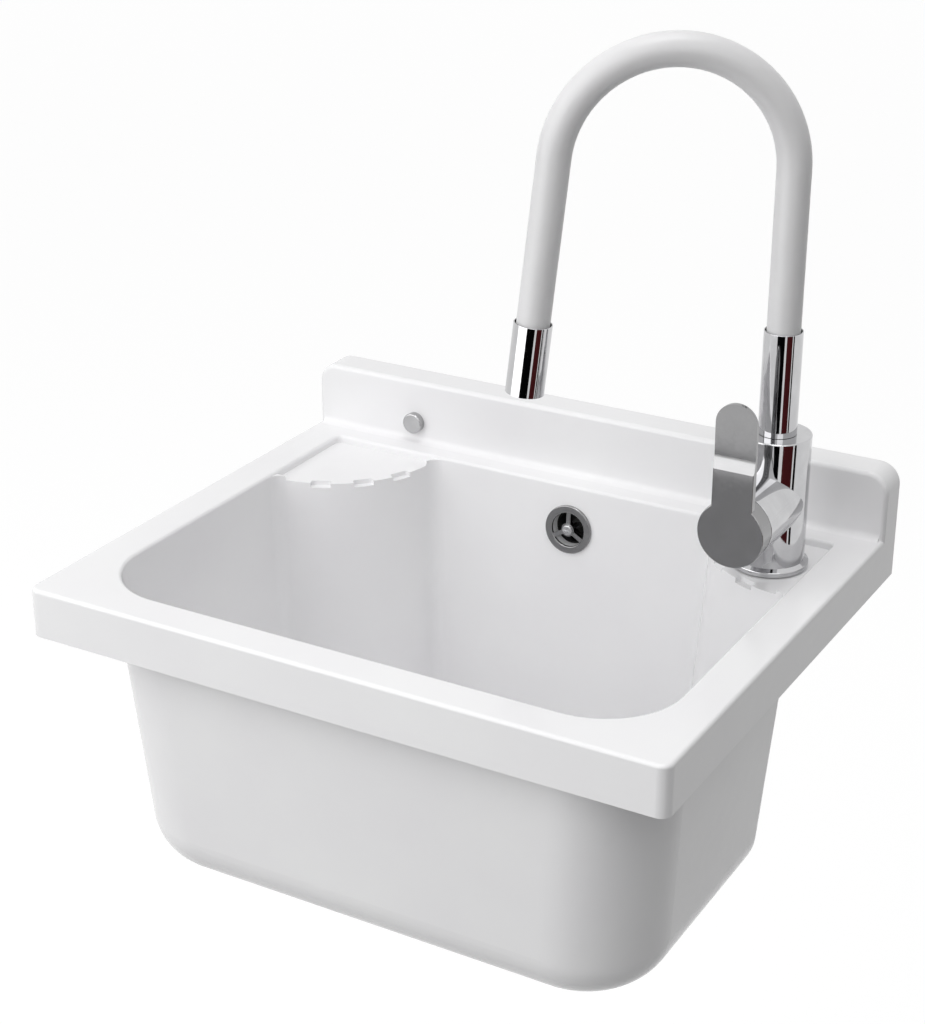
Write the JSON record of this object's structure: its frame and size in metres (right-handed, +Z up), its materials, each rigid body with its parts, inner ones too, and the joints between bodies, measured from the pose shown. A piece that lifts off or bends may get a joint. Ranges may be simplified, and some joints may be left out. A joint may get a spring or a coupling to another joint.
{
  "type": "wall-hung utility sink",
  "caption": "Deep wall-hung utility sink with a splashback, corner shelves, overflow and waste, and a single-lever mixer tap with a tall flexible gooseneck spout.",
  "frame": {"origin": "on the wall plane, midway between the two wall fixings", "axes": "+Y into the wall, +Z up, the sink's front towards -Y"},
  "size_m": [0.55, 0.496, 0.7593],
  "materials": {
    "white_resin": "glossy cast",
    "chrome": "polished",
    "steel": "satin",
    "rubber": "matte",
    "white_plastic": "satin",
    "grey_plastic": "satin",
    "disc_ceramic": "lapped",
    "brass": "machined",
    "hose_white": "glossy",
    "core_steel": "satin"
  },
  "bodies": {
    "basin": {"sink_basin": "white_resin", "fixing_screws": "steel", "fixing_washers": "steel", "fixing_caps": "chrome", "overflow_rosette": "chrome", "overflow_screw": "steel", "overflow_gasket": "rubber", "overflow_elbow": "white_plastic", "overflow_pipe": "white_plastic", "waste_strainer": "steel", "waste_screw": "steel", "waste_gasket": "rubber", "waste_body": "white_plastic", "tap_body": "chrome", "tap_base_seal": "rubber", "tap_base_ring": "chrome", "tap_shank": "brass", "tap_rubber_washer": "rubber", "tap_steel_washer": "steel", "tap_fixing_nut": "brass", "boss_cover": "chrome", "cartridge_nut": "brass", "cartridge_housing": "grey_plastic", "fixed_disc": "disc_ceramic"},
    "rotor": {"cartridge_rotor": "grey_plastic", "pivot_pin": "steel"},
    "carrier": {"moving_disc": "disc_ceramic"},
    "lever": {"spindle": "brass", "lever_handle": "chrome", "grub_screw": "steel"},
    "spout": {"spout_spigot": "brass", "spout_o_rings": "rubber", "spout_snap_ring": "steel", "spout_sleeve": "chrome", "spout_hose": "hose_white", "gooseneck_core": "core_steel", "outlet_sleeve": "chrome", "outlet_nipple": "brass", "aerator_housing": "grey_plastic", "aerator_insert": "grey_plastic", "aerator_washer": "rubber"}
  },
  "joints": [
    {"name": "lever_temperature", "type": "hinge", "parent": "basin", "child": "rotor", "pos_m": [0.204, -0.1656, 0.0333], "axis": [0, -1, 0], "range_deg": [-40, 40]},
    {"name": "lever_flow", "type": "hinge", "parent": "rotor", "child": "lever", "pos_m": [0.204, -0.1656, 0.0333], "axis": [1, 0, 0], "range_deg": [0, 22]},
    {"name": "disc_slide", "type": "slide", "parent": "rotor", "child": "carrier", "axis": [0, 0, 1], "range_m": [0, 0.0046]},
    {"name": "spout_swivel", "type": "hinge", "parent": "basin", "child": "spout", "pos_m": [0.204, -0.1006, 0.088], "axis": [0, 0, 1], "continuous": true}
  ],
  "couplings": [
    {"joint": "disc_slide", "follows": "lever_flow", "m_per_rad": 0.01171}
  ]
}
